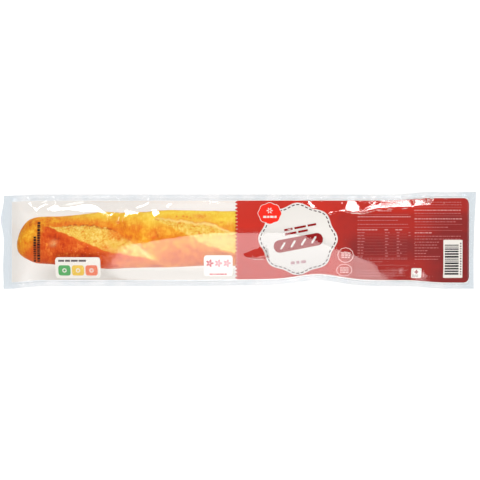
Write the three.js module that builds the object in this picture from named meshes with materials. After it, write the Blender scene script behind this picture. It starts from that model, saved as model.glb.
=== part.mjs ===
// A white baguette sealed in a long film pack that lies on its back. The pack is one closed solid
// of the film's outer form: a flat welded rim all round, the lid film drawn over the crown of the
// loaf above it, and the formed trough that the loaf lies in below it. Millimetres, +Z up,
// +X along the loaf, origin in the middle of the flat the pack rests on.
import * as THREE from "three";
import { mergeVertices } from "three/addons/utils/BufferGeometryUtils.js";

// Driving sizes
const halfLength = 282; // welded edge to middle, before the edges wander
const halfWidth = 55;
const rimHeight = 30; // depth of the formed trough
const rimThickness = 0.8;
const sideWeld = 7.5; // width of the weld along the two long sides
const westWeld = 10;
const eastWeld = 7.5;
const crownRise = 15.2; // lid film above the rim, over the crown of the loaf
const crownDrop = 5.2; // how much lower it is past the loaf's middle, towards the east

// How the lid film falls away from its crest: nearly straight towards the north in the west, and
// flat on top with a steep edge in the east
const northPower = 1.3;
const eastNorthPower = 4.4;
const southPower = 2;
const eastSouthPower = 1.8;
const westRun = 60; // length over which the film climbs on to the loaf's end
const eastRun = 66;
const endPower = 2.4;

// Trough
const wallShare = 0.45; // share of the half width that the curved wall takes
const endWallRun = 22;
const wallPower = 2.2;

// Grid of the solid's top and underside
const stepsAlong = 96;
const stepsAcross = 20;

const { clamp, lerp } = THREE.MathUtils;
const bell = (value, middle, spread) => Math.exp(-(((value - middle) / spread) ** 2));
const ease = (value, from, to) => {
  const t = clamp((value - from) / (to - from), 0, 1);
  return t * t * (3 - 2 * t);
};

// The welded outline. The film's edges wander: the west end is wavy, three corners flare, and the
// south edge is drawn in where a fold crosses the pack.
const cornerFlare = 3;
const foldAt = 96;
const foldDraw = 7;
const foldSpread = 36;

const northEdge = (x) => halfWidth - 1.5 * ease(-x, 240, 282) + cornerFlare * ease(x, 185, 230);
const southEdge = (x) =>
  -halfWidth +
  foldDraw * bell(x, foldAt, foldSpread) +
  bell(x, 20, 60) -
  cornerFlare * (ease(-x, 235, 275) + ease(x, 200, 250));
const westEdge = (y) => -halfLength + 0.5 - 3.5 * bell(y, 29, 15) - bell(y, -28, 16);
const eastEdge = (y) => halfLength + cornerFlare * ((y + 26) / (halfWidth + 26)) ** 2;

// The film's inside: the area within the weld
const insideWest = -halfLength + westWeld;
const insideEast = halfLength - eastWeld;
const insideNorth = (x) => northEdge(x) - sideWeld;
const insideSouth = (x) => southEdge(x) + sideWeld;

// Share of the way across: -1 on the south weld, 1 on the north one
const across = (x, y) => {
  const middle = (insideNorth(x) + insideSouth(x)) / 2;
  return (y - middle) / (insideNorth(x) - middle);
};

// Where across the pack the lid film crests: on the loaf's north shoulder in the middle, over the
// loaf's own crown at the west end, and well south of it in the east, where the film is slack
const crestAcross = (x) => 0.3 - 0.36 * ease(-x, 20, 150) - 0.77 * ease(x, 40, 170);

// Height of the lid film above the rim, 0 on the weld
function lidRise(x, y) {
  const place = across(x, y);
  const crest = crestAcross(x);
  const north = place > crest;
  const share = clamp(north ? (place - crest) / (1 - crest) : (crest - place) / (1 + crest), 0, 1);
  const eastward = ease(x, 60, 190);
  const northSide = lerp(northPower, eastNorthPower, eastward);
  const southSide = lerp(southPower, eastSouthPower, eastward);
  const west = 1 - clamp(1 - (x - insideWest) / westRun, 0, 1) ** endPower;
  const east = 1 - clamp(1 - (insideEast - x) / eastRun, 0, 1) ** endPower;
  const crown = crownRise - crownDrop * ease(x, 60, 185);
  return crown * (1 - share ** (north ? northSide : southSide)) * clamp(west, 0, 1) * clamp(east, 0, 1);
}

// Depth of the trough below the rim, 0 on the weld and flat in the middle
function troughDepth(x, y) {
  const side = clamp((1 - Math.abs(across(x, y))) / wallShare, 0, 1);
  const end = clamp(Math.min(x - insideWest, insideEast - x) / endWallRun, 0, 1);
  return rimHeight * (1 - (1 - side) ** wallPower) * (1 - (1 - end) ** wallPower);
}

// The rim isn't quite flat: it waves a little, most at the west end
const rimWave = (x, y) =>
  0.9 * Math.sin(x / 37) * Math.sin(y / 30 + 0.6) + 1.6 * bell(x, -halfLength, 22) * Math.sin(y / 13);

// Grid lines: one step for each weld, and the rest spread over the inside, closer at its two ends
const alongLine = (step) => {
  const t = (step - 1) / (stepsAlong - 2);
  const even = 2 * t - 1;
  return 0.5 + 0.5 * (0.72 * even + 0.28 * Math.sin((even * Math.PI) / 2));
};

function gridPoint(column, row) {
  const t = clamp((row - 1) / (stepsAcross - 2), 0, 1);
  const guess = halfWidth * (2 * t - 1);
  let x;
  if (column === 0) x = westEdge(guess);
  else if (column === stepsAlong) x = eastEdge(guess);
  else x = lerp(insideWest, insideEast, alongLine(column));
  let y;
  if (row === 0) y = southEdge(x);
  else if (row === stepsAcross) y = northEdge(x);
  else y = lerp(insideSouth(x), insideNorth(x), t);
  return { x, y, edge: column === 0 || column === stepsAlong || row === 0 || row === stepsAcross };
}

// A slab cut into the grid's cells, whose top becomes the lid film and whose underside the trough
function packGeometry() {
  const slab = new THREE.BoxGeometry(stepsAlong, stepsAcross, 1, stepsAlong, stepsAcross, 1);
  slab.deleteAttribute("normal");
  slab.deleteAttribute("uv");
  const geometry = mergeVertices(slab);
  const points = geometry.getAttribute("position");
  for (let i = 0; i < points.count; i += 1) {
    const column = Math.round(points.getX(i) + stepsAlong / 2);
    const row = Math.round(points.getY(i) + stepsAcross / 2);
    const top = points.getZ(i) > 0;
    const { x, y, edge } = gridPoint(column, row);
    const depth = edge ? 0 : troughDepth(x, y);
    const rim = rimHeight + (1 - depth / rimHeight) * rimWave(x, y);
    const rise = edge ? 0 : lidRise(x, y);
    const under = Math.max(0, rim - rimThickness / 2 - depth);
    points.setXYZ(i, x, y, top ? rim + rimThickness / 2 + rise : under);
  }
  geometry.computeVertexNormals();
  return geometry;
}

const film = new THREE.MeshStandardMaterial({
  color: new THREE.Color(0.93, 0.94, 0.94),
  roughness: 0.12,
  metalness: 0,
});

const pack = new THREE.Mesh(packGeometry(), film);
pack.name = "pack";

const baguettePack = new THREE.Group();
baguettePack.add(pack);

export default baguettePack;
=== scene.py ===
import math

import bpy
import numpy as np
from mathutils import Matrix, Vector, noise


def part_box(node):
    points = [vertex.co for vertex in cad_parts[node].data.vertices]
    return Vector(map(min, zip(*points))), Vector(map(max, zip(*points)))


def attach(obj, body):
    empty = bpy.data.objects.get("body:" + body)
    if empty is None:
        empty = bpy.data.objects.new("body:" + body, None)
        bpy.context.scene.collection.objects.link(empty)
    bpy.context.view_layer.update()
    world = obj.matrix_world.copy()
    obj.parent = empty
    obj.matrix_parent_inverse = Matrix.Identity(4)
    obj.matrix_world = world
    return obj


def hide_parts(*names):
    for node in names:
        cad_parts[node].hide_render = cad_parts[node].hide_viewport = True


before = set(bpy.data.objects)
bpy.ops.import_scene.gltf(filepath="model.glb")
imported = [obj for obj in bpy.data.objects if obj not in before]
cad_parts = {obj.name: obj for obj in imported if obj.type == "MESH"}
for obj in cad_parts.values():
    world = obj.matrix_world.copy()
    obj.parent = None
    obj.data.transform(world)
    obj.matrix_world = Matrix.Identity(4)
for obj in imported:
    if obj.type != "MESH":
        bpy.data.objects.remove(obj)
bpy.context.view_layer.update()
packLow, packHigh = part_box("pack")
print("frame loaded, pack", [round(v, 4) for v in packHigh - packLow])

mm = 0.001

# Camera: straight above the pack, the picture's top edge towards +Y
camera = {
    "distance": 2.2,  # above the welded rim
    "frameWidth": 0.576,  # what the picture spans at the rim
    "lookX": 1.8 * mm,
    "lookY": 0.4 * mm,
}

pack = {
    "halfLength": packHigh.x - 3 * mm,
    "halfWidth": packHigh.y - 3 * mm,
    "rim": 30 * mm,
    "rimGap": 0.6 * mm,  # between the two films' outer faces in the weld
    "sideWeld": 7.5 * mm,
    "westWeld": 10 * mm,
    "eastWeld": 7.5 * mm,
    "wallShare": 0.45,
    "endWallRun": 22 * mm,
    "wallPower": 2.2,
    "flare": 3 * mm,
    "foldAt": 96 * mm,
    "foldDraw": 7 * mm,
    "foldSpread": 36 * mm,
}

lid = {
    "crown": 15.2 * mm,  # lid film over the rim
    "crownDrop": 5.2 * mm,  # lower past the badge
    "northPower": 1.3,  # nearly straight from the loaf's shoulder to the weld
    "eastNorthPower": 4.4,  # flat on top, with a steep edge
    "southPower": 2.0,
    "eastSouthPower": 1.8,
    "westRun": 60 * mm,
    "eastRun": 66 * mm,
    "endPower": 2.4,
}


def bell(value, middle, spread):
    return np.exp(-(((value - middle) / spread) ** 2))


def ease(value, start, end):
    t = np.clip((value - start) / (end - start), 0, 1)
    return t * t * (3 - 2 * t)


def bellMm(value, middle, spread):
    return bell(value, middle * mm, spread * mm)


def easeMm(value, start, end):
    return ease(value, start * mm, end * mm)


def between(first, second, share):
    return first + (second - first) * share


def alongBeside(x, y, middleX, middleY, turn):  # the middle in millimetres, the turn in degrees
    turn = math.radians(turn)
    east, north = x - middleX * mm, y - middleY * mm
    return east * math.cos(turn) + north * math.sin(turn), north * math.cos(turn) - east * math.sin(turn)


def turnAbout(middle, along, beside, turn):
    turn = math.radians(turn)
    x = middle[0] + along * math.cos(turn) - beside * math.sin(turn)
    return x, middle[1] + along * math.sin(turn) + beside * math.cos(turn)


# Welded outline
def northEdge(x):
    corners = pack["flare"] * easeMm(x, 185, 230) - 1.5 * mm * easeMm(-x, 240, 282)
    return pack["halfWidth"] + corners


def southEdge(x):
    drawn = pack["foldDraw"] * bell(x, pack["foldAt"], pack["foldSpread"]) + mm * bellMm(x, 20, 60)
    corners = easeMm(-x, 235, 275) + easeMm(x, 200, 250)
    return -pack["halfWidth"] + drawn - pack["flare"] * corners


def westEdge(y):
    wave = 3.5 * mm * bellMm(y, 29, 15) + mm * bellMm(y, -28, 16)
    return -pack["halfLength"] + 0.5 * mm - wave


def eastEdge(y):
    return pack["halfLength"] + pack["flare"] * ((y + 26 * mm) / (pack["halfWidth"] + 26 * mm)) ** 2


insideWest = -pack["halfLength"] + pack["westWeld"]
insideEast = pack["halfLength"] - pack["eastWeld"]


def insideNorth(x):
    return northEdge(x) - pack["sideWeld"]


def insideSouth(x):
    return southEdge(x) + pack["sideWeld"]


def across(x, y):
    middle = (insideNorth(x) + insideSouth(x)) / 2
    return (y - middle) / (insideNorth(x) - middle)


def crestAcross(x):
    return 0.30 - 0.36 * easeMm(-x, 20, 150) - 0.77 * easeMm(x, 40, 170)


# Soft waves of the slack film: x, y, direction, half length, half width, height
softWaves = [
    (-104, 2, 75, 20, 7, 0.12),
    (-80, 4, 75, 20, 7, -0.10),
    (166, -17, -6, 40, 11, 0.75),
    (206, -32, 25, 15, 5, 0.18),
    (238, -14, -62, 20, 6, 0.5),
    (236, 15, -40, 20, 5, 0.55),
    (236, -41, -8, 26, 4, 0.5),
]

# Places on the north slope where the film is drawn flat between creases. They catch the north light.
faintFacets = [
    [(-145.8, 37.1), (-144.6, 47.2), (-141.0, 47.2), (-136.7, 42.4), (-135.7, 37.1)],
    [(-123.5, 36.8), (-119.9, 42.4), (-113.4, 44.3), (-108.6, 47.6), (-106.4, 47.4), (-109.6, 41.4),
     (-118.2, 36.8)],
    [(-87.0, 38.8), (-84.4, 45.5), (-80.0, 45.5), (-83.2, 38.8)],
]
softFacets = [
    [(-251.4, 47.6), (-249.5, 47.6), (-247.4, 42.4), (-241.8, 35.6), (-242.3, 33.7), (-243.5, 34.4),
     (-249.2, 41.6)],
    [(-242.3, 33.7), (-242.5, 35.9), (-237.0, 42.8), (-229.3, 45.2), (-228.8, 43.6), (-235.3, 41.2)],
    [(-221.4, 49.1), (-154.2, 49.1), (-151.8, 46.2), (-221.4, 46.2)],
    [(-229.8, 37.1), (-223.1, 43.3), (-217.8, 43.8), (-213.0, 40.4), (-203.4, 41.2), (-186.6, 44.5),
     (-175.8, 44.5), (-167.4, 41.2), (-161.4, 34.0), (-157.1, 27.5), (-162.6, 31.1), (-168.6, 33.2),
     (-176.0, 33.5), (-186.6, 33.0), (-195.0, 35.4), (-207.0, 36.4), (-221.4, 34.2)],
]
crispFacets = [
    [(-153.0, 37.6), (-151.3, 37.6), (-152.5, 30.4), (-148.0, 36.4), (-146.3, 35.6), (-151.8, 27.0),
     (-154.9, 27.2)],
    [(-142.7, 36.4), (-140.8, 36.4), (-140.8, 29.2), (-143.4, 20.5), (-145.6, 21.0), (-142.9, 29.4)],
    [(-136.9, 37.6), (-120.6, 35.2), (-118.9, 32.5), (-128.8, 30.4), (-134.5, 27.5), (-139.3, 23.9),
     (-136.4, 29.9)],
    [(-130.4, 48.4), (-128.5, 48.4), (-128.3, 43.6), (-130.0, 43.6)],
    [(-104.0, 38.8), (-96.8, 37.6), (-92.8, 32.3), (-96.8, 29.2), (-101.2, 25.1), (-103.3, 30.6)],
    [(82.4, 49.8), (87.4, 47.6), (92.6, 38.2), (90.6, 36.6), (85.4, 38.6), (83.2, 43.5)],
    [(106.2, 31.6), (117.0, 35.9), (127.3, 38.3), (130.7, 34.9), (129.0, 33.7), (120.6, 34.2), (109.8, 31.8)],
    [(129.7, 50.3), (140.0, 49.8), (148.2, 32.5), (128.8, 34.2), (127.8, 38.0), (129.5, 43.6)],
    [(148.4, 50.3), (150.6, 50.3), (153.5, 46.2), (151.8, 46.0)],
    [(147.7, 32.3), (152.5, 38.0), (160.9, 42.1), (158.5, 45.2), (158.3, 50.0), (163.8, 50.3), (163.3, 43.6),
     (165.7, 42.8), (170.3, 45.5), (169.6, 50.5), (204.6, 50.8), (204.8, 47.4), (208.2, 41.2), (211.3, 43.8),
     (210.1, 50.3), (222.1, 50.0), (225.0, 44.8), (227.9, 44.8), (226.9, 49.8), (232.7, 50.3), (228.8, 43.6),
     (223.8, 43.6), (211.8, 40.7), (209.4, 39.0), (194.5, 39.0), (181.8, 38.5), (175.0, 37.8), (165.7, 37.3),
     (155.4, 34.4)],
    [(244.9, 45.7), (247.8, 49.8), (249.7, 49.6), (246.6, 45.5)],
    [(97.6, 49.1), (99.0, 49.3), (101.9, 46.0), (100.7, 45.2)],
    [(122.0, 46.0), (123.7, 46.2), (125.9, 43.8), (124.2, 43.3)],
]
# slope, width of the change to it, and how far it reaches past its outline
facet = {
    "faint": (-0.645, 1.2 * mm, 0.3 * mm),
    "soft": (-0.70, 1.7 * mm, 1.2 * mm),
    "crisp": (-0.70, 0.7 * mm, 0.2 * mm),
}

# A slack dent beside the badge, where the film lies level
slackDent = [
    (4.2, -16.2), (14.8, -10.5), (24.5, -6.7), (33.1, -5.6), (35.0, -20.2), (22.5, -21.6), (12.9, -20.1)]
dent = {"slope": 0.02, "level": 0.8, "outer": -1.6 * mm, "inner": 1.4 * mm}


def waveHeight(x, y):
    height = 0
    for waveX, waveY, turn, long, wide, high in softWaves:
        along, beside = alongBeside(x, y, waveX, waveY, turn)
        hump = np.clip(1 - (along / (long * mm)) ** 2, 0, 1) * bell(beside, 0, wide * mm)
        height = height + high * mm * hump
    return height


def smoothLid(x, y):
    place = across(x, y)
    crest = crestAcross(x)
    north = place > crest
    share = np.where(north, (place - crest) / (1 - crest), (crest - place) / (1 + crest))
    eastward = easeMm(x, 60, 190)
    northSide = between(lid["northPower"], lid["eastNorthPower"], eastward)
    southSide = between(lid["southPower"], lid["eastSouthPower"], eastward)
    profile = 1 - np.clip(share, 0, 1) ** np.where(north, northSide, southSide)
    west = 1 - np.clip(1 - (x - insideWest) / lid["westRun"], 0, 1) ** lid["endPower"]
    east = 1 - np.clip(1 - (insideEast - x) / lid["eastRun"], 0, 1) ** lid["endPower"]
    inside = profile * np.clip(west, 0, 1) * np.clip(east, 0, 1)
    crown = lid["crown"] - lid["crownDrop"] * easeMm(x, 60, 185)
    return crown * inside + waveHeight(x, y) * np.minimum(1, 3 * inside)


def outlineDistance(x, y, corners):  # positive inside the outline
    inside = np.zeros(x.shape, bool)
    nearest = np.full(x.shape, 1.0)
    for (ax, ay), (bx, by) in zip(corners, corners[1:] + corners[:1]):
        inside ^= ((ay > y) != (by > y)) & (x < (bx - ax) * (y - ay) / (by - ay + 1e-12) + ax)
        stepX, stepY = bx - ax, by - ay
        share = np.clip(((x - ax) * stepX + (y - ay) * stepY) / (stepX ** 2 + stepY ** 2), 0, 1)
        nearest = np.minimum(nearest, np.hypot(x - ax - share * stepX, y - ay - share * stepY))
    return np.where(inside, nearest, -nearest)


def nearOutline(x, corners):
    alongs = [corner[0] for corner in corners]
    return (x > min(alongs) - 4 * mm) & (x < max(alongs) + 4 * mm)


def cornersOf(outline):
    return [(x * mm, y * mm) for x, y in outline]


def lidRise(x, y):
    x, y = (np.array(v, float) for v in np.broadcast_arrays(x, y))
    height = smoothLid(x, y)
    for kind, outlines in (("faint", faintFacets), ("soft", softFacets), ("crisp", crispFacets)):
        slope, blend, reach = facet[kind]
        for corners in map(cornersOf, outlines):
            near = nearOutline(x, corners)
            if not near.any():
                continue
            acrosses = [corner[1] for corner in corners]
            level = (min(acrosses) + max(acrosses)) / 2
            distance = outlineDistance(x[near], y[near], corners)
            weight = np.clip(0.5 + (distance + reach) / (2 * blend), 0, 1)
            plane = smoothLid(x[near], np.full(distance.shape, level)) + slope * (y[near] - level)
            height[near] += weight * (plane - height[near])
    return height + dentRise(x, y)


def dentRise(x, y):  # what the dent adds to the film's height: it holds its level right across
    height = np.zeros(x.shape)
    corners = cornersOf(slackDent)
    near = nearOutline(x, corners)
    if near.any():
        north = np.interp(x[near], *zip(*corners[:4]))
        south = np.interp(x[near], *zip(corners[0], *corners[:3:-1]))
        level = between(south, north, dent["level"])
        weight = ease(outlineDistance(x[near], y[near], corners), dent["outer"], dent["inner"])
        plane = smoothLid(x[near], level) + dent["slope"] * (y[near] - level)
        height[near] = weight * (plane - smoothLid(x[near], y[near]))
    return height


def rimWave(x, y):
    west = 1.6 * mm * bell(x, -pack["halfLength"], 22 * mm) * np.sin(y / (13 * mm))
    return 0.9 * mm * np.sin(x / (37 * mm)) * np.sin(y / (30 * mm) + 0.6) + west


def troughDepth(x, y):
    side = np.clip((1 - np.abs(across(x, y))) / pack["wallShare"], 0, 1)
    end = np.clip(np.minimum(x - insideWest, insideEast - x) / pack["endWallRun"], 0, 1)
    return pack["rim"] * (1 - (1 - side) ** pack["wallPower"]) * (1 - (1 - end) ** pack["wallPower"])


def rimHeight(x, y):
    return pack["rim"] + (1 - troughDepth(x, y) / pack["rim"]) * rimWave(x, y)


def lidHeight(x, y):
    return rimHeight(x, y) + pack["rimGap"] / 2 + lidRise(x, y)


def trayHeight(x, y):
    return np.maximum(0, rimHeight(x, y) - pack["rimGap"] / 2 - troughDepth(x, y))


# Small makers used by all pieces
def meshFrom(name, points, faces, materials, faceSlots=None, smooth=True):
    mesh = bpy.data.meshes.new(name)
    mesh.from_pydata([tuple(p) for p in points], [], [tuple(f) for f in faces])
    for material in materials:
        mesh.materials.append(material)
    if faceSlots is not None:
        mesh.polygons.foreach_set("material_index", np.asarray(faceSlots, np.int32))
    mesh.polygons.foreach_set("use_smooth", [smooth] * len(mesh.polygons))
    mesh.update()
    piece = bpy.data.objects.new(name, mesh)
    bpy.context.scene.collection.objects.link(piece)
    return piece


def gridFaces(columns, rows, first=0, flip=False):
    column, row = np.meshgrid(np.arange(columns), np.arange(rows), indexing="ij")
    a = first + column * (rows + 1) + row
    quads = np.stack([a, a + rows + 1, a + rows + 2, a + 1], axis=-1).reshape(-1, 4)
    return quads[:, ::-1] if flip else quads


def pointsOf(piece):
    points = np.empty(len(piece.data.vertices) * 3)
    piece.data.vertices.foreach_get("co", points)
    return points.reshape(-1, 3)


def movePoints(piece, points):
    piece.data.vertices.foreach_set("co", points.ravel())
    piece.data.update()


def pointValues(piece, name):
    values = np.empty(len(piece.data.vertices), np.float32)
    piece.data.attributes[name].data.foreach_get("value", values)
    return values.astype(float)


def setPointValues(piece, name, values):
    attribute = piece.data.attributes.new(name, "FLOAT", "POINT")
    attribute.data.foreach_set("value", np.asarray(values, np.float32))


def joinPieces(name, pieces):
    first = pieces[0]
    with bpy.context.temp_override(active_object=first, object=first, selected_editable_objects=pieces):
        bpy.ops.object.join()
    first.name = name
    return first


def addNode(tree, kind, inputs=None, **settings):
    node = tree.nodes.new(kind)
    for key, value in settings.items():
        setattr(node, key, value)
    for key, value in (inputs or {}).items():
        if isinstance(value, bpy.types.NodeSocket):
            tree.links.new(value, node.inputs[key])
        else:
            node.inputs[key].default_value = value
    return node


def outOf(tree, kind, inputs=None, **settings):
    return addNode(tree, kind, inputs, **settings).outputs[0]


def calc(tree, operation, *values, clamp=False):
    inputs = dict(enumerate(values))
    return outOf(tree, "ShaderNodeMath", inputs, operation=operation, use_clamp=clamp)


def times(tree, first, second):
    return calc(tree, "MULTIPLY", first, second)


def plus(tree, first, second):
    return calc(tree, "ADD", first, second)


def minus(tree, first, second):
    return calc(tree, "SUBTRACT", first, second)


def timesPlus(tree, first, second, third):
    return calc(tree, "MULTIPLY_ADD", first, second, third)


def spread(tree, value, fromMin, fromMax, toMin=0.0, toMax=1.0, kind="LINEAR"):
    inputs = {"Value": value, "From Min": fromMin, "From Max": fromMax, "To Min": toMin, "To Max": toMax}
    return addNode(tree, "ShaderNodeMapRange", inputs, interpolation_type=kind).outputs["Result"]


def smoothSpread(tree, value, fromMin, fromMax, toMin=0.0, toMax=1.0):
    return spread(tree, value, fromMin, fromMax, toMin, toMax, "SMOOTHSTEP")


def splitXyz(tree, place):
    return addNode(tree, "ShaderNodeSeparateXYZ", {"Vector": place}).outputs


def objectPlace(tree):
    return addNode(tree, "ShaderNodeTexCoord").outputs["Object"]


def pointPlace(tree):
    return splitXyz(tree, outOf(tree, "GeometryNodeInputPosition"))


def noiseNode(tree, place, scale, detail=2.0, roughness=0.5):
    return addNode(tree, "ShaderNodeTexNoise", {
        "Vector": place, "Scale": scale, "Detail": detail, "Roughness": roughness}).outputs["Fac"]


def bumpNode(tree, strength, distance, height):
    return addNode(tree, "ShaderNodeBump", {
        "Strength": strength, "Distance": distance, "Height": height}).outputs["Normal"]


def pointField(tree, name):
    return addNode(tree, "ShaderNodeAttribute", attribute_name=name).outputs["Fac"]


def ramp(tree, factor, stops):
    node = addNode(tree, "ShaderNodeValToRGB", {"Fac": factor})
    while len(node.color_ramp.elements) < len(stops):
        node.color_ramp.elements.new(0.5)
    for element, (position, colour) in zip(node.color_ramp.elements, stops):
        element.position = position
        element.color = (*colour, 1)
    return node.outputs["Color"]


def mixColour(tree, factor, first, second):
    first, second = ((*c, 1) if isinstance(c, tuple) else c for c in (first, second))
    return addNode(tree, "ShaderNodeMix", {0: factor, 6: first, 7: second}, data_type="RGBA").outputs[2]


def newMaterial(name, makeSurface, *given):
    material = bpy.data.materials.new(name)
    material.use_nodes = True
    tree = material.node_tree
    tree.nodes.clear()
    addNode(tree, "ShaderNodeOutputMaterial", {"Surface": makeSurface(tree, objectPlace(tree), *given)})
    return material


def screen(red, green, blue):  # a colour as a screen shows it, made linear
    shares = (red / 255, green / 255, blue / 255)
    return tuple(c / 12.92 if c <= 0.04045 else ((c + 0.055) / 1.055) ** 2.4 for c in shares)


# Geometry node trees
def newTree(name, inputs):
    tree = bpy.data.node_groups.new(name, "GeometryNodeTree")
    tree.is_modifier = True
    tree.interface.new_socket(name="Geometry", in_out="OUTPUT", socket_type="NodeSocketGeometry")
    for key, value in inputs.items():
        kind = "NodeSocketInt" if isinstance(value, int) else "NodeSocketFloat"
        tree.interface.new_socket(name=key, in_out="INPUT", socket_type=kind).default_value = value
    tree.interface.new_socket(name="Material", in_out="INPUT", socket_type="NodeSocketMaterial")
    return tree, tree.nodes.new("NodeGroupInput").outputs


def endTree(tree, geometry, material):
    plain = outOf(tree, "GeometryNodeRealizeInstances", {"Geometry": geometry})
    dressed = outOf(tree, "GeometryNodeSetMaterial", {"Geometry": plain, "Material": material})
    addNode(tree, "NodeGroupOutput", {"Geometry": dressed})


def joinXyz(tree, x, y, z=0.0):
    return outOf(tree, "ShaderNodeCombineXYZ", {"X": x, "Y": y, "Z": z})


def storeField(tree, geometry, name, value):
    return outOf(tree, "GeometryNodeStoreNamedAttribute", {
        "Geometry": geometry, "Name": name, "Value": value}, data_type="FLOAT", domain="POINT")


def moveTo(tree, geometry, position):
    return outOf(tree, "GeometryNodeSetPosition", {"Geometry": geometry, "Position": position})


def grow(name, tree, values):
    piece = bpy.data.objects.new(name, bpy.data.meshes.new(name))
    bpy.context.scene.collection.objects.link(piece)
    modifier = piece.modifiers.new(name, "NODES")
    modifier.node_group = tree
    for item in tree.interface.items_tree:
        if item.in_out == "INPUT" and item.name in values:
            modifier[item.identifier] = values[item.name]
    made = bpy.data.meshes.new_from_object(piece.evaluated_get(bpy.context.evaluated_depsgraph_get()))
    piece.modifiers.clear()
    piece.data = made
    return piece


# Film
film = {
    "columns": 590,
    "rows": 112,
    "weldSteps": 4,
    "trayEvery": 4,  # the tray film has one row for so many rows of the lid film
    "bothFaces": 1.8,  # a film reflects at its upper and its lower face
    "trayShine": 0.3,  # share of that on the tray film, whose walls are steep
    "roughness": 0.07,
    "lidTint": (0.985, 0.970, 0.952),
    "trayTint": (0.975, 0.962, 0.945),
    "wallShadeTint": (0.73, 0.71, 0.68),  # painted shade: the tray film is darker at its west, south and north-west walls
    "lidHaze": 0.004,
    "trayHaze": 0.015,
    "weldHaze": 0.05,
    "lidHazeColour": (0.95, 0.93, 0.90),
    # warm haze on the tray film: painted light bounced from the loaf
    "trayHazeColour": (0.95, 0.88, 0.78),
    "weldHazeColour": (0.86, 0.89, 0.91),
    "sideTint": (0.974, 0.976, 0.981),
    # painted shade: the weld is darker at the pack's ends; this tint also gives the weld its cloudy mottle
    "endShadeTint": (0.868, 0.900, 0.925),
    "sealTint": (0.80, 0.82, 0.83),
    "sealAt": 2.0,  # mm outside the weld's inner edge
    "sealWidth": 0.55,
    "weldRoughness": 0.16,
    "rippleScale": 70.0,
    "rippleHeight": 0.04 * mm,
}


def weldTint(tree, place):
    along = calc(tree, "ABSOLUTE", splitXyz(tree, place)["X"])
    # painted shade: darker weld towards both ends
    shadedEnds = spread(tree, along, 258 * mm, 272 * mm)
    cloudy = spread(tree, noiseNode(tree, place, 60.0, 3.0), 0.35, 0.7, 0.0, 0.55)
    colour = mixColour(tree, shadedEnds, film["sideTint"], film["endShadeTint"])
    colour = mixColour(tree, cloudy, colour, film["endShadeTint"])
    outward = pointField(tree, "outward")
    off = calc(tree, "ABSOLUTE", minus(tree, outward, film["sealAt"]))
    seal = spread(tree, off, film["sealWidth"], 0.0)
    worn = spread(tree, noiseNode(tree, place, 34.0), 0.42, 0.58, 0.15, 0.9)
    return mixColour(tree, times(tree, seal, worn), colour, film["sealTint"])


def filmSurface(tree, place, part, roughness):  # part: lid, tray or weld
    bump = bumpNode(tree, 1.0, film["rippleHeight"], noiseNode(tree, place, film["rippleScale"]))
    facing = addNode(tree, "ShaderNodeLayerWeight", {"Blend": 0.5, "Normal": bump}).outputs["Facing"]
    grazing = calc(tree, "POWER", facing, 5.0)
    shine = film["bothFaces"] * (film["trayShine"] if part == "tray" else 1)
    mirror = calc(tree, "MULTIPLY_ADD", grazing, 0.96 * shine, 0.04 * shine, clamp=True)
    tint = (*film["lidTint"], 1)
    if part == "weld":
        tint = weldTint(tree, place)
    elif part == "tray":
        # painted shade: the tray film darkens towards its walls
        tint = mixColour(tree, pointField(tree, "wall"), film["trayTint"], film["wallShadeTint"])
    haze, hazeColour = film[part + "Haze"], (*film[part + "HazeColour"], 1)
    clear = outOf(tree, "ShaderNodeBsdfTransparent", {"Color": tint})
    milky = outOf(tree, "ShaderNodeBsdfDiffuse", {"Color": hazeColour, "Normal": bump})
    body = outOf(tree, "ShaderNodeMixShader", {0: haze, 1: clear, 2: milky})
    gloss = outOf(tree, "ShaderNodeBsdfGlossy", {
        "Color": (1, 1, 1, 1), "Roughness": roughness, "Normal": bump})
    return outOf(tree, "ShaderNodeMixShader", {0: mirror, 1: body, 2: gloss})


lidFilm = newMaterial("lidFilm", filmSurface, "lid", film["roughness"])
trayFilm = newMaterial("trayFilm", filmSurface, "tray", film["roughness"])
weldedFilm = newMaterial("weldedFilm", filmSurface, "weld", film["weldRoughness"])


def weldedSpread(steps, low, insideLow, insideHigh, high):
    weld = film["weldSteps"]
    share = np.linspace(0, 1, steps - 2 * weld + 1)[1:-1]
    edge = np.linspace(0, 1, weld + 1)
    runs = (low, insideLow, edge), (insideLow, insideHigh, share), (insideHigh, high, edge)
    return np.concatenate([between(*run) for run in runs])


def filmGrid():
    columns, rows = film["columns"], film["rows"]
    even = np.linspace(-pack["halfWidth"], pack["halfWidth"], rows + 1)
    x = np.stack([
        weldedSpread(columns, westEdge(y), insideWest, insideEast, eastEdge(y)) for y in even], axis=1)
    y = np.empty_like(x)
    for i in range(columns + 1):
        middle = x[i, rows // 2]
        edges = [edge(middle) for edge in (southEdge, insideSouth, insideNorth, northEdge)]
        y[i] = weldedSpread(rows, *edges)
    return x, y


def inWeld(columns, rows, weldColumns, weldRows):
    column, row = np.meshgrid(np.arange(columns), np.arange(rows), indexing="ij")
    outer = (column < weldColumns) | (column >= columns - weldColumns)
    return (outer | (row < weldRows) | (row >= rows - weldRows)).ravel()


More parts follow.
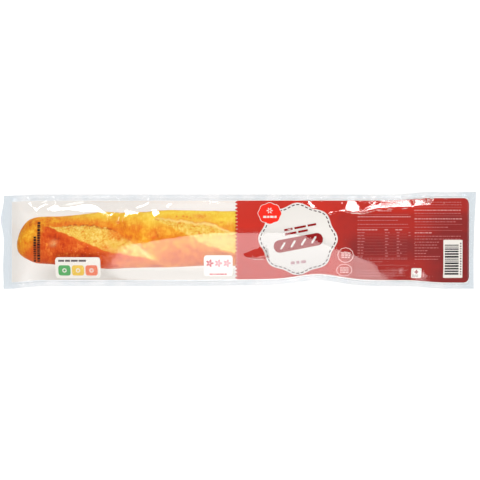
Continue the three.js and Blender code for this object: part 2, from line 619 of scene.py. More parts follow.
def makeFilm():
    columns, rows, weld, every = film["columns"], film["rows"], film["weldSteps"], film["trayEvery"]
    x, y = filmGrid()
    trayX, trayY = x[:, ::every], y[:, ::every]
    trayRows = rows // every
    top = np.stack([x, y, lidHeight(x, y)], axis=-1).reshape(-1, 3)
    under = np.stack([trayX, trayY, trayHeight(trayX, trayY)], axis=-1).reshape(-1, 3)
    faces = [tuple(f) for f in gridFaces(columns, rows)]
    faces += [tuple(f) for f in gridFaces(columns, trayRows, len(top), flip=True)]
    slots = list(2 * inWeld(columns, rows, weld, weld))
    slots += list(1 + inWeld(columns, trayRows, weld, weld // every))
    lidIndex = np.arange(len(top)).reshape(columns + 1, rows + 1)
    trayIndex = len(top) + np.arange(len(under)).reshape(columns + 1, trayRows + 1)
    for i in range(columns):
        faces.append((lidIndex[i, 0], trayIndex[i, 0], trayIndex[i + 1, 0], lidIndex[i + 1, 0]))
        faces.append((lidIndex[i + 1, -1], trayIndex[i + 1, -1], trayIndex[i, -1], lidIndex[i, -1]))
    for j in range(trayRows):
        strip = list(range(j * every, (j + 1) * every + 1))
        faces.append((*lidIndex[0, strip], trayIndex[0, j + 1], trayIndex[0, j]))
        faces.append((*lidIndex[-1, strip[::-1]], trayIndex[-1, j], trayIndex[-1, j + 1]))
    slots += [2] * (len(faces) - len(slots))
    piece = meshFrom("packFilm", np.concatenate([top, under]), faces, [lidFilm, trayFilm, weldedFilm], slots)
    allX = np.concatenate([x.ravel(), trayX.ravel()])
    allY = np.concatenate([y.ravel(), trayY.ravel()])
    past = [insideWest - allX, allX - insideEast, insideSouth(allX) - allY, allY - insideNorth(allX)]
    setPointValues(piece, "outward", np.max(past, axis=0) / mm)
    # where the tray film is painted darker as shade: its west end, south wall and north-west
    west = 0.65 * (1 - ease(allX, insideWest, insideWest + 20 * mm))
    south = easeMm(-allY, 24, 40) * easeMm(allX, -262, -215)
    north = 0.4 * easeMm(allY, 24, 40) * (1 - easeMm(allX, -130, -70))
    setPointValues(piece, "wall", np.max([west, south, north], axis=0))
    piece.data.set_sharp_from_angle(angle=math.radians(55))
    return piece


packFilm = makeFilm()
print("film made:", len(packFilm.data.polygons), "faces")


# Loaf
loaf = {
    "westTip": -267 * mm,
    "eastTip": 262 * mm,
    "halfWidth": 33.6 * mm,
    "endNarrowing": 4.4 * mm,  # the loaf is slimmer past its last slashes
    "middleHeight": 19 * mm,
    "topHeight": 21.5 * mm,
    "eastDrop": 4 * mm,  # it is lower under the flatter film
    "bottomHeight": 18.2 * mm,
    "endLength": 30 * mm,  # of its rounded ends
    "tipDrop": 6 * mm,
    "clearance": 0.9 * mm,  # kept to the film
    "rings": 480,
    "around": 176,
    "topCrowding": 0.3,  # more of the points lie on its top
}

# Slashes, each between a lip towards the south and a torn ear towards the north, from its west end
slash = {
    "starts": [(-229.0, 17.2), (-103.8, 27.4), (21.0, 27.0), (140.0, 22.0)],
    "length": 125,
    "depth": 0.7 * mm,
    "bulge": 0.8 * mm,
    "earHeight": 0.35 * mm,
    "earReach": 3.5 * mm,
    "lipHeight": 0.4 * mm,
    "lipReach": 5 * mm,
    "flapReach": 3.2 * mm,
    "closing": 7 * mm,  # opening below which its relief fades out
    "slant": 0.94,  # of a distance northwards, the share square to the cut
}
firstLip = [(0, 0), (9.1, -3.8), (21.4, -9.2), (33.6, -14.6), (47.4, -19.9), (57.4, -24.6), (74.8, -31.0),
            (89.5, -33.4), (100.2, -35.3), (110.8, -36.7), (118.4, -38.2), (125.2, -40.1)]
firstEar = [(0, 0), (16.0, -1.2), (33.6, 1.4), (44.3, 0.7), (59.6, -0.5), (71.2, -1.9), (76.4, -3.8),
            (84.4, -7.7), (92.8, -13.2), (101.2, -19.0), (110.8, -25.4), (118.0, -31.7), (125.2, -40.1)]
nextLip = [(0, 0), (9.6, -5.4), (21.6, -10.8), (38.4, -18.6), (52.8, -26.4), (66.0, -33.6), (84.0, -38.4),
           (100.8, -42.0), (124.8, -47.4)]
nextEar = [(0, 0), (14.4, -1.2), (28.4, -2.8), (39.1, -3.8), (50.6, -6.6), (66.7, -5.8), (77.4, -9.6),
           (84.4, -13.4), (100.4, -18.8), (110.4, -25.8), (118.8, -35.4), (124.8, -47.4)]

# Patches of the crust: x, y, half length, half width, turn, strength
blushes = [
    (-101.4, 6.5, 9, 7, 30, 0.95), (-46.0, 28.6, 9, 3.2, -4, 0.9), (-10.0, 18.6, 7, 4, 20, 0.7),
    (-74.0, 28.2, 1.6, 1.2, 0, 1.0), (-66.0, 28.6, 1.5, 1.2, 0, 1.0), (-61.5, 28.2, 1.4, 1.2, 0, 1.0),
    (-57.5, 26.8, 1.5, 1.2, 0, 1.0), (-246.0, -17.0, 13, 9, -40, 0.8), (-148.0, 8.0, 9, 9, 0, 0.55),
    (-122.0, 14.0, 10, 8, 10, 0.45), (-199.0, 20.5, 20, 3.0, 3, 0.55), (-166.0, 20.0, 16, 3.0, -2, 0.55),
    (-20.0, 21.5, 3, 1.6, 0, 0.6), (-156.0, -10.0, 11, 5, -35, 0.6), (-84.0, 2.0, 9, 3, 25, 0.5),
]
healed = [(-141.0, 9.0, 15, 8, -38, 0.85)]
# burnt marks; the first entry is painted shade along the loaf's south outline
burnMarksAndEdgeShade = [
    (-229.0, -28.2, 13, 3.0, -8, 0.75), (-160.0, 14.3, 12, 0.9, -4, 0.5),
    (-96.5, 6.0, 1.6, 5.0, 15, 0.5), (-226.0, 6.0, 6, 2.5, -30, 0.3),
]
pales = [
    (-111.5, -15.5, 9, 2.4, -37, 0.95), (-20.0, -1.0, 20, 8, 0, 0.5), (-221.0, -3.5, 4.5, 3.5, 20, 0.45),
    (-124.0, -7.0, 8, 4.5, -30, 0.5), (-34.0, 18.5, 14, 1.6, -14, 0.5),
]


def noiseAt(points, size, octaves=3, seed=0.0):
    offset = Vector((seed, seed * 1.7, seed * 0.6))
    return np.array([noise.fractal(Vector(p) / size + offset, 0.9, 2.1, octaves) for p in points])


def patchShare(x, y, patches):
    share = np.zeros(x.shape)
    for middleX, middleY, long, wide, turn, strength in patches:
        along, beside = alongBeside(x, y, middleX, middleY, turn)
        share = np.maximum(share, strength * bell(along, 0, long * mm) * bell(beside, 0, wide * mm))
    return share


def edgeLine(x, outline, startX, startY, phase):
    wander = 0.40 * np.sin(x / (2.1 * mm) + phase) + 0.30 * np.sin(x / (1.13 * mm) + 2.3 * phase)
    wander = (wander + 0.35 * np.sin(x / (4.7 * mm) + 0.7 * phase)) * mm
    alongs = [(startX + point[0]) * mm for point in outline]
    return wander + startY * mm + np.interp(x, alongs, [point[1] * mm for point in outline])


def fallOff(distance, reach):  # past an edge only
    return np.where(distance < 0, np.exp(np.minimum(distance, 0) / reach), 0)


def slashFields(x, y):
    fields = {key: np.zeros(x.shape) for key in ("open", "deep", "ear", "flap", "ridge", "hot", "lift")}
    for k, (startX, startY) in enumerate(slash["starts"]):
        lipLine, earLine = (firstLip, firstEar) if k == 0 else (nextLip, nextEar)
        lipY = edgeLine(x, lipLine, startX, startY, 0.4 + k)
        earY = edgeLine(x, earLine, startX, startY, 1.9 + k)
        within = (x > startX * mm) & (x < (startX + slash["length"]) * mm)
        opening = np.clip(earY - lipY, 0, None)
        taper = within * np.clip((opening - 0.5 * mm) / slash["closing"], 0, 1)
        below = (y - lipY) * slash["slant"]  # how far north of the lip
        above = (earY - y) * slash["slant"]  # how far south of the ear
        inside = easeMm(below, -0.4, 0.6) * easeMm(above, -0.4, 0.4) * (taper > 0)
        share = np.clip(below / np.maximum(slash["slant"] * opening, mm), 0, 1)
        torn = inside * taper * (slash["bulge"] * np.sin(math.pi * share) - slash["depth"] * share ** 1.5)
        fade = 1 - 0.9 * easeMm(x, startX + 70, startX + 92)
        fade = fade * (0.25 + 0.75 * easeMm(x, startX + 14, startX + 32))
        ear = fade * taper * slash["earHeight"] * fallOff(above, slash["earReach"])
        lip = taper * slash["lipHeight"] * fallOff(below, slash["lipReach"])
        fields["lift"] += torn + ear + lip
        earLight = fade * taper * bellMm(above, 0.1, 0.8)
        south = easeMm(-below, -0.2, 1.1)
        found = {"open": inside, "flap": taper * fallOff(above, slash["flapReach"])}
        if k == 0:
            west = easeMm(x - 0.6 * y, -252, -236)
            found["ear"] = earLight
            found["hot"] = 0.65 * taper * bellMm(below, -2.2, 2.4)
            found["deep"] = south * west * (1 - 0.35 * easeMm(x, -150, -112))
        else:
            east = easeMm(x, startX - 4, startX + 12)
            found["ear"] = 0.25 * earLight
            found["ridge"] = 0.9 * taper * bellMm(above, 0.9, 1.1)
            # deep crust below the lips, deepening towards the south flank: partly the crust's own colour,
            # partly painted shade
            found["deep"] = south * east * (0.30 + 0.40 * easeMm(-y, 2, 24))
        for key, values in found.items():
            fields[key] = np.maximum(fields[key], values)
    return fields


def loafMiddle(x):
    return 2.4 * mm * easeMm(x, -130, -70) - 3.4 * mm * easeMm(x, 60, 150)


def loafHalfWidth(x):
    narrowing = easeMm(-x, 150, 205) + easeMm(x, 150, 215)
    bulges = 0.7 * mm * np.sin((x + 227 * mm) / (118 * mm) * 2 * math.pi)
    bulges = bulges + 1.2 * mm * bellMm(x, -160, 28)
    return loaf["halfWidth"] - loaf["endNarrowing"] * narrowing + bulges


def signedPower(tree, value, power):
    size = calc(tree, "POWER", calc(tree, "ABSOLUTE", value), power)
    return times(tree, calc(tree, "SIGN", value), size)


def loafTree():  # a sphere's rings drawn out to a long body with rounded ends
    tree, given = newTree("loafBody", {
        "Rings": 480, "Around": 176, "West Tip": -0.27, "Length": 0.53, "End Length": 0.03,
        "Half Width": 0.034, "Middle Height": 0.02, "Top Height": 0.02, "Bottom Height": 0.02,
        "Top Crowding": 0.3})
    sphere = addNode(tree, "GeometryNodeMeshUVSphere", {
        "Segments": given["Around"], "Rings": given["Rings"], "Radius": 1.0}).outputs["Mesh"]
    split = pointPlace(tree)
    share = calc(tree, "DIVIDE", calc(tree, "ARCCOSINE", split["Z"]), math.pi)
    turn = calc(tree, "ARCTAN2", split["Y"], split["X"])
    cubed = calc(tree, "DIVIDE", times(tree, turn, times(tree, turn, turn)), math.pi ** 2)
    crowded = timesPlus(tree, minus(tree, cubed, turn), given["Top Crowding"], turn)
    endShare = 0.05
    westward = calc(tree, "DIVIDE", share, endShare, clamp=True)
    eastward = calc(tree, "DIVIDE", minus(tree, 1.0, share), endShare, clamp=True)
    middle = calc(tree, "DIVIDE", minus(tree, share, endShare), 1 - 2 * endShare, clamp=True)
    westTurn = times(tree, westward, math.pi / 2)
    eastTurn = times(tree, eastward, math.pi / 2)
    girth = times(tree, calc(tree, "SINE", westTurn), calc(tree, "SINE", eastTurn))
    ends = minus(tree, calc(tree, "COSINE", eastTurn), calc(tree, "COSINE", westTurn))
    x = timesPlus(tree, plus(tree, ends, 1.0), given["End Length"], given["West Tip"])
    straight = timesPlus(tree, given["End Length"], -2.0, given["Length"])
    x = timesPlus(tree, middle, straight, x)
    side = signedPower(tree, calc(tree, "SINE", crowded), 0.92)
    y = times(tree, times(tree, girth, given["Half Width"]), side)
    up = calc(tree, "COSINE", crowded)
    onTop = calc(tree, "GREATER_THAN", up, 0.0)
    taller = minus(tree, given["Top Height"], given["Bottom Height"])
    height = timesPlus(tree, onTop, taller, given["Bottom Height"])
    height = times(tree, height, calc(tree, "POWER", girth, 0.8))
    rise = signedPower(tree, up, timesPlus(tree, onTop, 0.28, 0.72))
    z = timesPlus(tree, height, rise, given["Middle Height"])
    placed = moveTo(tree, storeField(tree, sphere, "turn", crowded), joinXyz(tree, x, y, z))
    smooth = outOf(tree, "GeometryNodeSetShadeSmooth", {"Geometry": placed})
    endTree(tree, smooth, given["Material"])
    return tree


crust = {
    "light": screen(246, 196, 62),
    "golden": screen(234, 160, 34),
    "amber": screen(226, 130, 24),
    "brown": screen(208, 98, 16),
    "yellowPale": screen(250, 222, 96),
    "yellow": screen(243, 212, 72),
    "yellowDeep": screen(240, 190, 52),
    "deepPale": screen(236, 138, 52),
    "deepMid": screen(216, 92, 26),
    "deep": screen(204, 70, 14),
    "deepDark": screen(170, 44, 8),
    "blush": screen(230, 104, 38),
    "burnt": screen(178, 66, 20),
    "crumbPale": screen(246, 222, 146),
    "crumbLight": screen(240, 209, 106),
    "crumb": screen(232, 192, 78),
    "crumbDeep": screen(226, 146, 50),
    "crumbFleck": screen(214, 104, 34),
    "cream": screen(252, 226, 150),
    "flap": screen(230, 122, 36),
    "under": screen(206, 128, 60),
    "roughness": 0.5,
    "shine": 0.08,
}


def crustRamp(tree, factor, *stops):
    return ramp(tree, factor, [(position, crust[name]) for position, name in stops])


def crustSurface(tree, place):
    stretched = outOf(tree, "ShaderNodeMapping", {"Vector": place, "Scale": (4.0, 0.9, 0.9)})
    broad = noiseNode(tree, place, 40.0, 3.0)
    patches = noiseNode(tree, place, 170.0, 5.0, 0.66)
    streaks = noiseNode(tree, stretched, 140.0, 4.0, 0.6)
    flecks = noiseNode(tree, place, 700.0, 3.0, 0.65)
    mottle = timesPlus(tree, broad, 0.34, times(tree, patches, 0.42))
    mottle = timesPlus(tree, streaks, 0.24, mottle)
    mottle = spread(tree, mottle, 0.36, 0.64)
    torn = timesPlus(tree, flecks, 0.45, times(tree, patches, 0.55))
    torn = spread(tree, torn, 0.34, 0.66)
    golden = crustRamp(tree, mottle, (0.10, "light"), (0.42, "golden"), (0.68, "amber"), (0.95, "brown"))
    yellow = crustRamp(tree, mottle, (0.10, "yellowPale"), (0.5, "yellow"), (0.92, "yellowDeep"))
    deep = crustRamp(tree, mottle, (0.06, "deepPale"), (0.34, "deepMid"), (0.62, "deep"), (0.96, "deepDark"))
    crumb = crustRamp(tree, torn, (0.06, "crumbPale"), (0.32, "crumbLight"), (0.52, "crumb"),
                      (0.76, "crumbDeep"), (0.97, "crumbFleck"))
    skin = mixColour(tree, pointField(tree, "yellow"), golden, yellow)
    skin = mixColour(tree, times(tree, pointField(tree, "flap"), 0.65), skin, crust["flap"])
    skin = mixColour(tree, pointField(tree, "deep"), skin, deep)
    patchy = spread(tree, torn, 0.15, 0.75, 0.35, 1.0)
    skin = mixColour(tree, pointField(tree, "open"), skin, crumb)
    for name, colour in (("blush", "blush"), ("burnAndShade", "burnt"), ("pale", "cream"), ("ridge", "cream")):
        skin = mixColour(tree, times(tree, pointField(tree, name), patchy), skin, crust[colour])
    dashes = spread(tree, noiseNode(tree, place, 330.0, 1.0), 0.40, 0.56, 0.1, 0.9)
    skin = mixColour(tree, times(tree, pointField(tree, "ear"), dashes), skin, crust["burnt"])
    low = spread(tree, splitXyz(tree, place)["Z"], 13 * mm, 2 * mm)
    skin = mixColour(tree, low, skin, crust["under"])
    bump = bumpNode(tree, 0.7, 0.7 * mm, timesPlus(tree, streaks, 0.8, flecks))
    return outOf(tree, "ShaderNodeBsdfPrincipled", {
        "Base Color": skin, "Roughness": crust["roughness"], "Normal": bump,
        "Specular IOR Level": crust["shine"]})


def makeLoaf():
    piece = grow("loaf", loafTree(), {
        "Rings": loaf["rings"], "Around": loaf["around"], "West Tip": loaf["westTip"],
        "Length": loaf["eastTip"] - loaf["westTip"], "End Length": loaf["endLength"],
        "Half Width": loaf["halfWidth"], "Middle Height": loaf["middleHeight"],
        "Top Height": loaf["topHeight"], "Bottom Height": loaf["bottomHeight"],
        "Top Crowding": loaf["topCrowding"], "Material": newMaterial("bakedCrust", crustSurface)})
    points = pointsOf(piece)
    turn = pointValues(piece, "turn")
    x = points[:, 0]
    up = np.cos(turn)
    points[:, 1] *= loafHalfWidth(x) / loaf["halfWidth"]
    fromTip = x - loaf["westTip"]
    points[:, 1] += loafMiddle(x) - loaf["tipDrop"] * np.clip(1 - fromTip / (14 * mm), 0, 1) ** 2
    points[:, 2] -= loaf["eastDrop"] * easeMm(x, 60, 185) * np.clip(up, 0, 1)
    x, y = points[:, 0].copy(), points[:, 1].copy()
    onTop = ease(up, -0.05, 0.25)
    fields = slashFields(x, y)
    normal = np.stack([np.zeros_like(x), np.sin(turn), up], axis=-1)
    rough = 0.8 * mm * noiseAt(points, 38 * mm, 2, 3.1) + 0.22 * mm * noiseAt(points, 7 * mm, 3, 8.4)
    rough += 0.55 * mm * fields["open"] * onTop * noiseAt(points, 4.5 * mm, 3, 5.5)
    away = fields["lift"] * onTop + rough * ease(up, -1.0, -0.5) * np.clip(fromTip / (8 * mm), 0, 1)
    points += normal * away[:, None]
    lowest = trayHeight(points[:, 0], points[:, 1]) + 0.5 * mm
    highest = lidHeight(points[:, 0], points[:, 1]) - loaf["clearance"]
    points[:, 2] = np.clip(points[:, 2], lowest, highest)
    movePoints(piece, points)
    fields["open"] *= 1 - patchShare(x, y, healed)
    # lighter, yellower crust along the north flank and the north half past the first slash: partly the
    # crust's own colour, partly painted light from the north
    shoulder = 0.7 * easeMm(y, 20, 31) * easeMm(x, -225, -180)
    fields["yellow"] = np.maximum(shoulder, easeMm(x, -150, -92) * easeMm(y, 8, 26))
    fields["blush"] = np.maximum(fields["hot"], patchShare(x, y, blushes))
    # burnt marks, and painted shade at the south outline
    fields["burnAndShade"] = patchShare(x, y, burnMarksAndEdgeShade)
    fields["pale"] = patchShare(x, y, pales)
    for name in ("open", "deep", "ear", "flap", "ridge", "yellow", "blush", "burnAndShade", "pale"):
        setPointValues(piece, name, fields[name] * onTop)
    return piece


loafPiece = makeLoaf()
print("loaf made:", len(loafPiece.data.polygons), "faces")


# Print on the inside of the lid film, each layer a little under the film
layers = {
    "margin": 0.52 * mm, "field": 0.45 * mm, "badge": 0.36 * mm, "mark": 0.28 * mm, "fine": 0.20 * mm,
    "over": 0.12 * mm,
}


inkLook = {"roughness": 0.5, "shine": 0.05, "grain": 900.0}


def printSurface(tree, place, makeColour, *given):
    return outOf(tree, "ShaderNodeBsdfPrincipled", {
        "Base Color": makeColour(tree, place, *given), "Roughness": inkLook["roughness"],
        "Specular IOR Level": inkLook["shine"]})


def inkColour(tree, place, colour, mottle=0.05):
    darker = tuple(c * (1 - 2 * mottle) for c in colour)
    return ramp(tree, noiseNode(tree, place, inkLook["grain"]), [(0.3, darker), (0.7, colour)])


# the red ink in a lit and a shaded copy
fieldRedLitAndShaded = {"bright": (0.585, 0.032, 0.019), "dark": (0.25, 0.027, 0.027)}


def fieldShadedColour(tree, place):  # painted light and shade: bright red where light falls, darkening past the badge, most across its middle
    split = splitXyz(tree, place)
    east = smoothSpread(tree, split["X"], 92 * mm, 128 * mm)
    farEast = smoothSpread(tree, split["X"], 215 * mm, 250 * mm, 0.0, 0.4)
    middle = smoothSpread(tree, split["Y"], 38 * mm, 28 * mm, 0.15, 0.52)
    bandEast = smoothSpread(tree, split["X"], 118 * mm, 142 * mm)
    band = times(tree, smoothSpread(tree, split["Y"], 14 * mm, -6 * mm, 0.0, 0.45), bandEast)
    south = smoothSpread(tree, split["Y"], -12 * mm, -30 * mm, 0.0, -0.35)
    acrossShare = plus(tree, middle, plus(tree, band, south))
    western = smoothSpread(tree, split["Y"], 20 * mm, 6 * mm, 0.0, 0.3)
    western = times(tree, western, minus(tree, 1.0, east))
    share = timesPlus(tree, east, acrossShare, plus(tree, farEast, western))
    grain = spread(tree, noiseNode(tree, place, 120.0, 3.0), 0.3, 0.7, -0.06, 0.06)
    share = calc(tree, "ADD", share, grain, clamp=True)
    return mixColour(tree, share, fieldRedLitAndShaded["bright"], fieldRedLitAndShaded["dark"])


# the badge's white ink in a lit copy to the north and a shaded copy to the south
badgeShadedInk = {"north": (0.80, 0.79, 0.775), "south": (0.65, 0.64, 0.635)}


def badgeShadedColour(tree, place):  # painted shade: greyer to the south
    split = splitXyz(tree, place)
    past = calc(tree, "MAXIMUM", minus(tree, split["X"], 80 * mm), 0.0)
    share = smoothSpread(tree, timesPlus(tree, past, 0.6, split["Y"]), 22 * mm, 4 * mm)
    return mixColour(tree, share, badgeShadedInk["north"], badgeShadedInk["south"])


inks = {
    "field": newMaterial("fieldInk", printSurface, fieldShadedColour),
    "badgeWhite": newMaterial("badgeShadedInk", printSurface, badgeShadedColour),
    "white": newMaterial("whiteInk", printSurface, inkColour, (0.84, 0.82, 0.79), 0.01),
}
inkColours = {
    "brightRed": (0.92, 0.028, 0.012),
    "wine": (0.30, 0.010, 0.012),
    "stitch": (0.075, 0.034, 0.040),
    "black": (0.022, 0.014, 0.012),
    "pink": (0.58, 0.060, 0.10),
    "rose": (0.78, 0.30, 0.36),
    "blush": (0.70, 0.33, 0.33),
    "faint": (0.56, 0.17, 0.17),
    "pale": (0.82, 0.55, 0.54),
    "grey": (0.14, 0.11, 0.12),
    "mauve": (0.46, 0.27, 0.31),
    "green": (0.12, 0.44, 0.16),
    "amber": (0.86, 0.60, 0.12),
    "salmon": (0.86, 0.26, 0.16),
    "bar": (0.026, 0.022, 0.024),
}
for name, colour in inkColours.items():
    inks[name] = newMaterial(name + "Ink", printSurface, inkColour, colour)


def drape(x, y, layer):
    return np.stack([x, y, lidHeight(x, y) - layers[layer]], axis=-1).reshape(-1, 3)


def patch(name, columns, rows, place, ink, layer):
    u, v = np.meshgrid(np.linspace(0, 1, columns + 1), np.linspace(0, 1, rows + 1), indexing="ij")
    x, y = place(u, v)
    return meshFrom(name, drape(x, y, layer), gridFaces(columns, rows), [inks[ink]])


def roundedBox(name, middle, size, corner, ink, layer, turn=0.0, step=1.2 * mm):
    def place(u, v):
        along = (u - 0.5) * size[0]
        into = np.clip((np.abs(along) - size[0] / 2 + corner) / corner, 0, 1)
        beside = (v - 0.5) * (size[1] - 2 * corner * (1 - np.sqrt(1 - 0.9995 * into ** 2)))
        return turnAbout(middle, along, beside, turn)

    columns, rows = max(6, int(size[0] / step)), max(2, int(size[1] / step))
    return patch(name, columns, rows, place, ink, layer)


def plainBox(name, x, y, length, height, corner, ink="white", layer="mark", step=1.2):  # in millimetres
    middle, size = (x * mm, y * mm), (length * mm, height * mm)
    return roundedBox(name, middle, size, corner * mm, ink, layer, step=step * mm)


def disc(name, centre, radius, ink, layer, lobes=0, depth=0, squash=1.0, hole=0.0):
    around = max(24, int(2 * math.pi * radius / (1.1 * mm)))
    steps = max(1, int(radius * (1 - hole) / (1.3 * mm)))
    turns = np.linspace(0, 1, around, endpoint=False)
    u, v = np.meshgrid(turns, np.linspace(0, 1, steps + 1), indexing="ij")
    if hole == 0:
        u, v = u[:, 1:], v[:, 1:]
    angle = 2 * math.pi * u
    reach = (radius + depth * np.cos(lobes * angle)) * (hole + (1 - hole) * v)
    x, y = centre[0] + reach * np.cos(angle), centre[1] + reach * np.sin(angle) * squash
    index = np.arange(x.size).reshape(x.shape)
    turned = np.roll(index, -1, axis=0)
    quads = np.stack([index[:, :-1], index[:, 1:], turned[:, 1:], turned[:, :-1]], axis=-1).reshape(-1, 4)
    faces = [tuple(q) for q in quads]
    points = drape(x, y, layer)
    if hole == 0:
        faces += [(len(points), a, b) for a, b in zip(index[:, 0], turned[:, 0])]
        points = np.concatenate([points, drape(np.array([centre[0]]), np.array([centre[1]]), layer)])
    return meshFrom(name, points, faces, [inks[ink]])


def lobedDisc(name, shape, radius, ink, layer):
    return disc(name, shape["centre"], radius, ink, layer, shape["lobes"], shape["depth"], shape["squash"])


# Rows of words: bars of uneven length with gaps between them, cut off at the row's end
def wordTree():
    tree, given = newTree("wordRows", {
        "Rows": 1, "Words": 40, "Length": 0.05, "Pitch": 0.0035, "Height": 0.001, "Shortest": 0.001,
        "Longest": 0.004, "Gap": 0.0006, "Steps": 2, "Slices": 1, "Seed": 1})
    count = times(tree, given["Rows"], given["Words"])
    points = outOf(tree, "GeometryNodePoints", {"Count": count})
    index = outOf(tree, "GeometryNodeInputIndex")
    row = calc(tree, "FLOOR", calc(tree, "DIVIDE", plus(tree, index, 0.5), given["Words"]))
    chance = addNode(tree, "FunctionNodeRandomValue", {
        2: given["Shortest"], 3: given["Longest"], "Seed": given["Seed"]}, data_type="FLOAT")
    stored = storeField(tree, points, "wordLength", chance.outputs[1])
    length = outOf(tree, "GeometryNodeInputNamedAttribute", {
        "Name": "wordLength"}, data_type="FLOAT")
    run = addNode(tree, "GeometryNodeAccumulateField", {
        "Value": plus(tree, length, given["Gap"]), "Group ID": row}, data_type="FLOAT", domain="POINT")
    middle = timesPlus(tree, length, 0.5, run.outputs["Trailing"])
    y = times(tree, times(tree, row, given["Pitch"]), -1.0)
    placed = moveTo(tree, stored, joinXyz(tree, middle, y))
    here = pointPlace(tree)["X"]
    past = calc(tree, "GREATER_THAN", timesPlus(tree, length, 0.5, here), given["Length"])
    kept = outOf(tree, "GeometryNodeDeleteGeometry", {
        "Geometry": placed, "Selection": past}, domain="POINT")
    bar = addNode(tree, "GeometryNodeMeshGrid", {
        "Size X": 1.0, "Size Y": 1.0, "Vertices X": plus(tree, given["Steps"], 1.0),
        "Vertices Y": plus(tree, given["Slices"], 1.0)})
    words = outOf(tree, "GeometryNodeInstanceOnPoints", {
        "Points": kept, "Instance": bar.outputs["Mesh"],
        "Scale": joinXyz(tree, length, given["Height"], 1.0)})
    endTree(tree, words, given["Material"])
    return tree


# Stitches: short dashes laid along a round outline with lobes
def stitchTree():
    tree, given = newTree("stitchRing", {
        "Radius": 0.04, "Depth": 0.001, "Lobes": 8.0, "Squash": 1.0, "Count": 48, "Length": 0.003,
        "Width": 0.001})
    ring = outOf(tree, "GeometryNodeCurvePrimitiveCircle", {"Resolution": 400, "Radius": 1.0})
    split = pointPlace(tree)
    turn = times(tree, calc(tree, "ARCTAN2", split["Y"], split["X"]), given["Lobes"])
    reach = timesPlus(tree, calc(tree, "COSINE", turn), given["Depth"], given["Radius"])
    y = times(tree, times(tree, split["Y"], reach), given["Squash"])
    lobed = moveTo(tree, ring, joinXyz(tree, times(tree, split["X"], reach), y))
    spaced = outOf(tree, "GeometryNodeResampleCurve", {"Curve": lobed, "Count": given["Count"]})
    facing = outOf(tree, "FunctionNodeAlignRotationToVector", {
        "Vector": outOf(tree, "GeometryNodeInputTangent")}, axis="X", pivot_axis="Z")
    dash = addNode(tree, "GeometryNodeMeshGrid", {
        "Size X": given["Length"], "Size Y": given["Width"], "Vertices X": 4, "Vertices Y": 2})
    stitches = outOf(tree, "GeometryNodeInstanceOnPoints", {
        "Points": spaced, "Instance": dash.outputs["Mesh"], "Rotation": facing})
    endTree(tree, stitches, given["Material"])
    return tree


# Rosette: oval petals round a middle
def petalTree():
    tree, given = newTree("petals", {"Petals": 8, "Radius": 0.003, "Length": 0.002, "Width": 0.001})
    ring = outOf(tree, "GeometryNodeCurvePrimitiveCircle", {
        "Resolution": given["Petals"], "Radius": given["Radius"]})
    oval = outOf(tree, "GeometryNodeMeshCircle", {"Vertices": 10, "Radius": 0.5}, fill_type="NGON")
    outward = outOf(tree, "FunctionNodeAlignRotationToVector", {
        "Vector": outOf(tree, "GeometryNodeInputPosition")}, axis="X", pivot_axis="Z")
    petals = outOf(tree, "GeometryNodeInstanceOnPoints", {
        "Points": ring, "Instance": oval, "Rotation": outward,
        "Scale": joinXyz(tree, given["Length"], given["Width"], 1.0)})
    endTree(tree, petals, given["Material"])
    return tree


wordRows, stitchRing, petalRing = wordTree(), stitchTree(), petalTree()


def layOn(piece, middle, layer, turn=0.0):
    points = pointsOf(piece)
    x, y = turnAbout(middle, points[:, 0], points[:, 1], turn)
    movePoints(piece, drape(x, y, layer))
    return piece


def words(x, y, length, ink, height=0.95, rows=1, pitch=3.5, size=(1.2, 4.2), gap=0.7, seed=1, turn=0.0,
          layer="mark", slices=1):
    piece = grow("words", wordRows, {
        "Rows": rows, "Words": 60, "Length": length * mm, "Pitch": pitch * mm, "Height": height * mm,
        "Shortest": size[0] * mm, "Longest": size[1] * mm, "Gap": gap * mm, "Steps": 1 + int(size[1] / 2),
        "Slices": slices, "Seed": seed, "Material": inks[ink]})
    return layOn(piece, (x * mm, y * mm), layer, turn)


field = {
    "west": -0.9 * mm,
    "east": 276.6 * mm,
    "corner": 6.5 * mm,
    "teeth": 22,
    "toothDepth": 3.2 * mm,
    "toothPower": 1.4,  # sharper tips
    "toothFade": 60,  # the teeth are on the west edge alone
    "margin": 1.1 * mm,
}


def makeField(name, ink, layer, outset, rows, toothed):
    def place(u, v):
        even = field["west"] - outset + (field["east"] - field["west"] + 2 * outset) * u
        cornerStart = field["east"] + outset - field["corner"]
        into = np.clip((even - cornerStart) / field["corner"], 0, 1)
        cut = field["corner"] * (1 - np.sqrt(1 - into ** 2 * 0.999))
        north = insideNorth(even) + 0.2 * mm + outset - cut
        south = insideSouth(even) - 0.2 * mm - outset + cut
        wave = np.abs(np.sin(v * field["teeth"] * math.pi)) ** field["toothPower"]
        teeth = toothed * field["toothDepth"] * wave * (1 - u) ** field["toothFade"]
        return even - teeth, south + (north - south) * v
    return patch(name, 236, rows, place, ink, layer)


redMargin = makeField("redFieldMargin", "white", "margin", field["margin"], 90, 0)
redField = makeField("redField", "field", "field", 0, 176, 1)

badge = {
    "centre": (71.0 * mm, 1.7 * mm),
    "radius": 45.7 * mm,
    "lobes": 8,
    "depth": 1.8 * mm,
    "squash": 0.915,
    "stitches": 48,
    "stitchLength": 3.5 * mm,
    "stitchWidth": 1.3 * mm,
    "stitchInset": 2.6 * mm,
    "loafMiddle": (71.4 * mm, -3.0 * mm),
    "loafSize": (60 * mm, 15 * mm),
    "loafTurn": 11,
}


